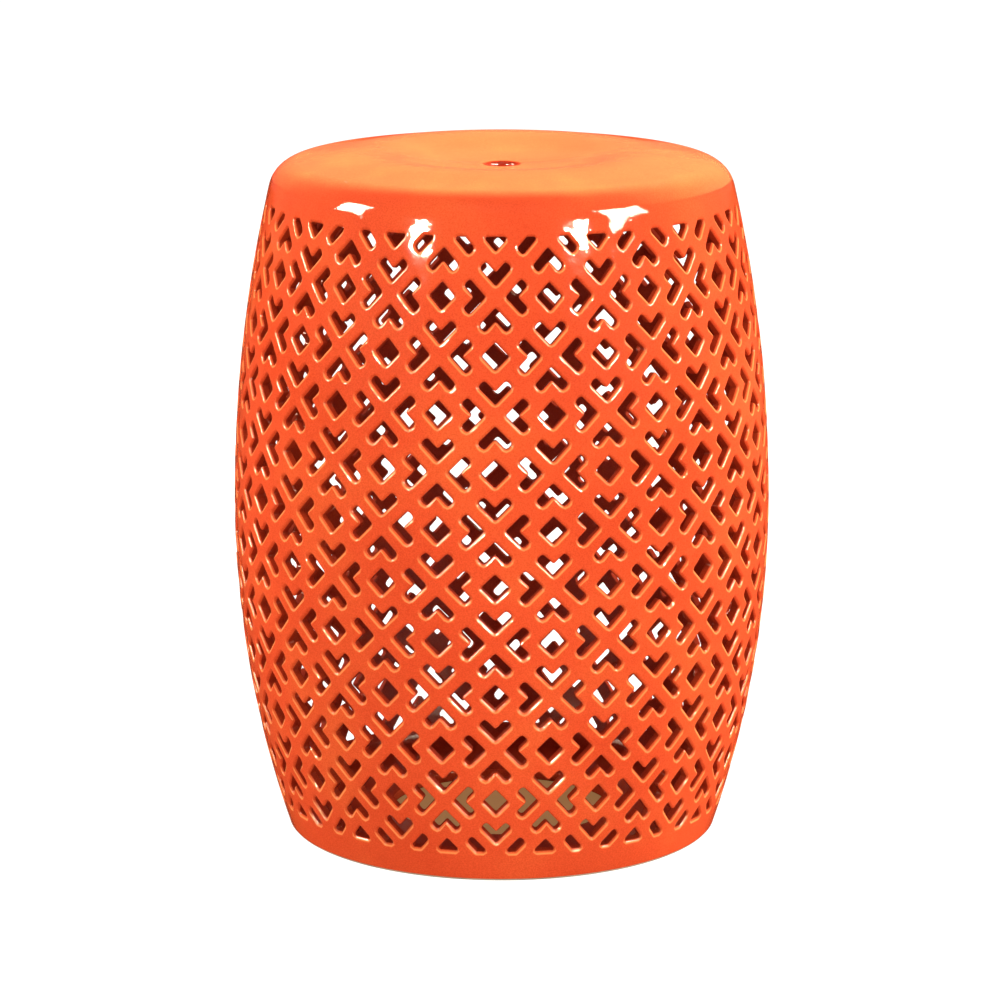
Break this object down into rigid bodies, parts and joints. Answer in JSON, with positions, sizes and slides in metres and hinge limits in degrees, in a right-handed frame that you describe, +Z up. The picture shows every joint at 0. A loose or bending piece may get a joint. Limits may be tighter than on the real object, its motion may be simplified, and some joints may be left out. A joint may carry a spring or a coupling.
{
  "type": "ceramic garden stool",
  "caption": "Barrel-shaped garden stool of glazed clay with a dished seat, a finger hole in its middle and a wall pierced all round with a diagonal lattice.",
  "frame": {"origin": "centre of the flat foot, on the surface that the stool stands on", "axes": "+Z up along the axis of the barrel; -Y towards the front, through a column of cells that has one in the row next to the top border"},
  "size_m": [0.3578, 0.3577, 0.457],
  "materials": {
    "red_orange_glaze": "gloss",
    "inner_glaze": "gloss"
  },
  "bodies": {
    "root": {"seat_top": "red_orange_glaze", "pierced_wall": "red_orange_glaze", "base_ring": "red_orange_glaze", "upper_luting_coil": "inner_glaze", "lower_luting_coil": "inner_glaze"}
  },
  "joints": []
}
